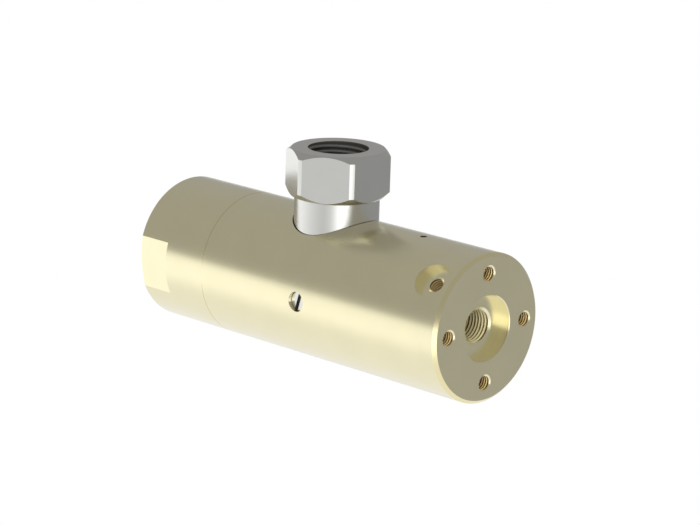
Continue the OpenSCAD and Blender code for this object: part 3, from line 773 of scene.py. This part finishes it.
class CONNECTOR_OT_nut(Operator):
    """Models the swivel nut with its turned corners, broken edges and wound thread"""

    bl_idname = "connector.nut"
    bl_label = "Swivel nut"

    def execute(self, context):
        sizes = context.scene.connector_nut
        low, high = node_box("hex_nut")
        across = (high.x - low.x) / MM
        corner_r = (high.y - low.y) / 2 / MM
        height = (high.z - low.z) / MM
        rim_r = across / 2 - sizes.rim_inset
        deselect()
        bpy.ops.mesh.primitive_cylinder_add(
            vertices=HEX_SIDES, radius=across / 2 / math.cos(math.pi / HEX_SIDES) * MM,
            depth=height * sizes.blank_share * MM, location=(0, 0, height / 2 * MM),
        )
        nut = bpy.context.object
        nut.name = "swivel_nut"
        bpy.ops.object.transform_apply(location=True, rotation=True, scale=True)
        blank = turned("nut_blank", [
            (rim_r, 0), (corner_r, sizes.bottom_drop), (corner_r, height - sizes.top_drop), (rim_r, height),
        ])
        carve(nut, blank, "INTERSECT")
        gasket_low, gasket_high = node_box("face_gasket")
        step = (gasket_low.z - low.z) / MM + sizes.seat_gap
        relief = (gasket_high.z - low.z) / MM + sizes.relief
        mouth_r = sizes.thread_r + sizes.lead_in
        bore = turned("nut_bore", [
            (sizes.neck_r, -PAST), (sizes.neck_r, step), (sizes.thread_r, step),
            (sizes.thread_r, height - sizes.lead_in), (mouth_r, height), (mouth_r, height + PAST),
        ])
        carve(nut, bore, "DIFFERENCE")
        break_edges(nut, sizes.edge, NUT_EDGE_ANGLE)
        ridge_depth = sizes.thread_r - sizes.crest_r + sizes.root
        plain = (sizes.first_turn + sizes.last_turn) * sizes.pitch
        ridge = wound(
            "nut_thread", sizes.thread_r + sizes.root, RIDGE_SIDES, 2 * ridge_depth,
            sizes.pitch * sizes.ridge, sizes.pitch,
            (height - relief - sizes.lead_in - plain) / sizes.pitch,
            relief + sizes.pitch * sizes.first_turn,
        )
        join(nut, [ridge])
        settle(nut, ((low.x + high.x) / 2, (low.y + high.y) / 2, low.z))
        hand_over(nut, "nut", "hex_nut", "satin_turned_steel")
        return {"FINISHED"}


class CONNECTOR_OT_screw(Operator):
    """Models the slotted locating screw"""

    bl_idname = "connector.screw"
    bl_label = "Locating screw"

    def execute(self, context):
        sizes = context.scene.connector_screw
        low, high = node_box("locating_screw")
        length = (high.y - low.y) / MM
        screw = turned("slotted_locating_screw", [
            (sizes.dog_r - sizes.dog_chamfer, 0), (sizes.dog_r, sizes.dog_chamfer),
            (sizes.dog_r, sizes.dog_length), (sizes.radius, sizes.dog_length),
            (sizes.radius, length - sizes.chamfer), (sizes.radius - sizes.chamfer, length),
        ])
        deselect()
        bpy.ops.mesh.primitive_cube_add(size=MM, location=(0, 0, length * MM))
        slot = bpy.context.object
        slot.scale = (sizes.slot_reach * sizes.radius, sizes.slot, 2 * sizes.slot_depth)
        slot.rotation_euler = (0, 0, sizes.slot_turn)
        bpy.ops.object.transform_apply(location=True, rotation=True, scale=True)
        carve(screw, slot, "DIFFERENCE")
        break_edges(screw, sizes.edge)
        middle = ((low.x + high.x) / 2, high.y, (low.z + high.z) / 2)
        settle(screw, middle, (math.pi / 2, 0, 0))
        # Bright like the other drawn steel, with painted shade below the screw's face, so that the slot
        # looks deep
        colours = context.scene.connector_finish
        half_length = (length - sizes.bright_depth) * MM
        below = (middle, (0, 1, 0), sizes.radius * MM, SMALL_GROOVE * MM, half_length)
        metal(
            "slotted_bright_steel", colours.bright, **BRIGHT_STEEL,
            threads=[(below, colours.slot_painted_shade, SLOT_METAL, BRANCH_RAMP)],
        )
        hand_over(screw, "housing", "locating_screw", "slotted_bright_steel")
        return {"FINISHED"}


class CONNECTOR_OT_gasket(Operator):
    """Models the flat face gasket with its rounded edges"""

    bl_idname = "connector.gasket"
    bl_label = "Face gasket"

    def execute(self, context):
        sizes = context.scene.connector_gasket
        low, high = node_box("face_gasket")
        outer = (high.x - low.x) / 2 / MM
        height = (high.z - low.z) / MM
        inner = outer - sizes.width
        section = [(inner, 0), (outer, 0), (outer, height), (inner, height)]
        gasket = turned("face_gasket_ring", section, ring=True)
        break_edges(gasket, sizes.edge, segments=sizes.segments)
        settle(gasket, ((low.x + high.x) / 2, 0, low.z))
        hand_over(gasket, "housing", "face_gasket", "moulded_green_rubber")
        return {"FINISHED"}


class CONNECTOR_OT_spring(Operator):
    """Models the round wire of the return spring, with closed end turns"""

    bl_idname = "connector.spring"
    bl_label = "Return spring"

    def execute(self, context):
        sizes = context.scene.connector_spring
        low, high = node_box("return_spring")
        length = (high.x - low.x) / MM
        middle_turns = sizes.turns - 2
        pitch = (length - 3 * sizes.wire) / middle_turns
        start = sizes.wire / 2
        windings = (
            ("return_spring_coil", pitch, middle_turns, start + sizes.wire),
            ("return_spring_first_turn", sizes.wire, 1, start),
            ("return_spring_last_turn", sizes.wire, 1, start + sizes.wire + pitch * middle_turns),
        )
        coils = [
            wound(name, sizes.radius, WIRE_SIDES, sizes.wire, sizes.wire, rise, turns, height)
            for name, rise, turns, height in windings
        ]
        join(coils[0], coils[1:])
        settle(coils[0], (high.x, 0, 0), (0, -math.pi / 2, 0))
        hand_over(coils[0], "piston_group", "return_spring", "bright_drawn_steel")
        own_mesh(coils[0])
        return {"FINISHED"}


class CONNECTOR_OT_spreader(Operator):
    """Models the split ring that spreads the jaws, slim enough for the jaws to close over it"""

    bl_idname = "connector.spreader"
    bl_label = "Spreading ring"

    def execute(self, context):
        sizes = context.scene.connector_spreader
        low, high = node_box("jaw_expander")
        wire_r = (high.x - low.x) / 2 / MM
        bore_r = (high.y - low.y) / 2 / MM - 2 * wire_r
        turns = 1 - sizes.opening / (2 * math.pi)
        ring = wound(
            "jaw_spreading_ring", bore_r + sizes.wire / 2, WIRE_SIDES, sizes.wire, sizes.wire, 0, turns, 0
        )
        settle(ring, ((low.x + high.x) / 2, 0, 0), (0, -math.pi / 2, 0))
        hand_over(ring, "piston_group", "jaw_expander", "bright_drawn_steel")
        return {"FINISHED"}


class CONNECTOR_PT_panel(Panel):
    """Lists the steps that build the connector's looks"""

    bl_idname = "CONNECTOR_PT_panel"
    bl_label = "Quick connector"
    bl_space_type = "VIEW_3D"
    bl_region_type = "UI"
    bl_category = "Connector"

    def draw(self, context):
        for operator in OPERATORS:
            self.layout.operator(operator.bl_idname)


SETTINGS = {
    "connector_camera": CameraSettings,
    "connector_stage": StageSettings,
    "connector_finish": FinishSettings,
    "connector_nut": NutSettings,
    "connector_screw": ScrewSettings,
    "connector_gasket": GasketSettings,
    "connector_spring": SpringSettings,
    "connector_spreader": SpreaderSettings,
}
OPERATORS = (
    CONNECTOR_OT_camera, CONNECTOR_OT_stage, CONNECTOR_OT_finishes, CONNECTOR_OT_nut,
    CONNECTOR_OT_screw, CONNECTOR_OT_gasket, CONNECTOR_OT_spring, CONNECTOR_OT_spreader,
)


def register():
    """Makes the settings, the operators and the panel known to Blender."""
    for group in SETTINGS.values():
        bpy.utils.register_class(group)
    for name, group in SETTINGS.items():
        setattr(bpy.types.Scene, name, PointerProperty(type=group))
    for operator in OPERATORS:
        bpy.utils.register_class(operator)
    bpy.utils.register_class(CONNECTOR_PT_panel)


def unregister():
    """Takes the settings, the operators and the panel away again."""
    bpy.utils.unregister_class(CONNECTOR_PT_panel)
    for operator in reversed(OPERATORS):
        bpy.utils.unregister_class(operator)
    for name in SETTINGS:
        delattr(bpy.types.Scene, name)
    for group in reversed(list(SETTINGS.values())):
        bpy.utils.unregister_class(group)


def main():
    """Builds the camera, the stage, the finishes and the fine pieces."""
    register()
    bpy.ops.connector.camera()
    bpy.ops.connector.stage()
    bpy.ops.connector.finishes()
    bpy.ops.connector.nut()
    bpy.ops.connector.screw()
    bpy.ops.connector.gasket()
    bpy.ops.connector.spring()
    bpy.ops.connector.spreader()


if __name__ == "__main__":
    main()
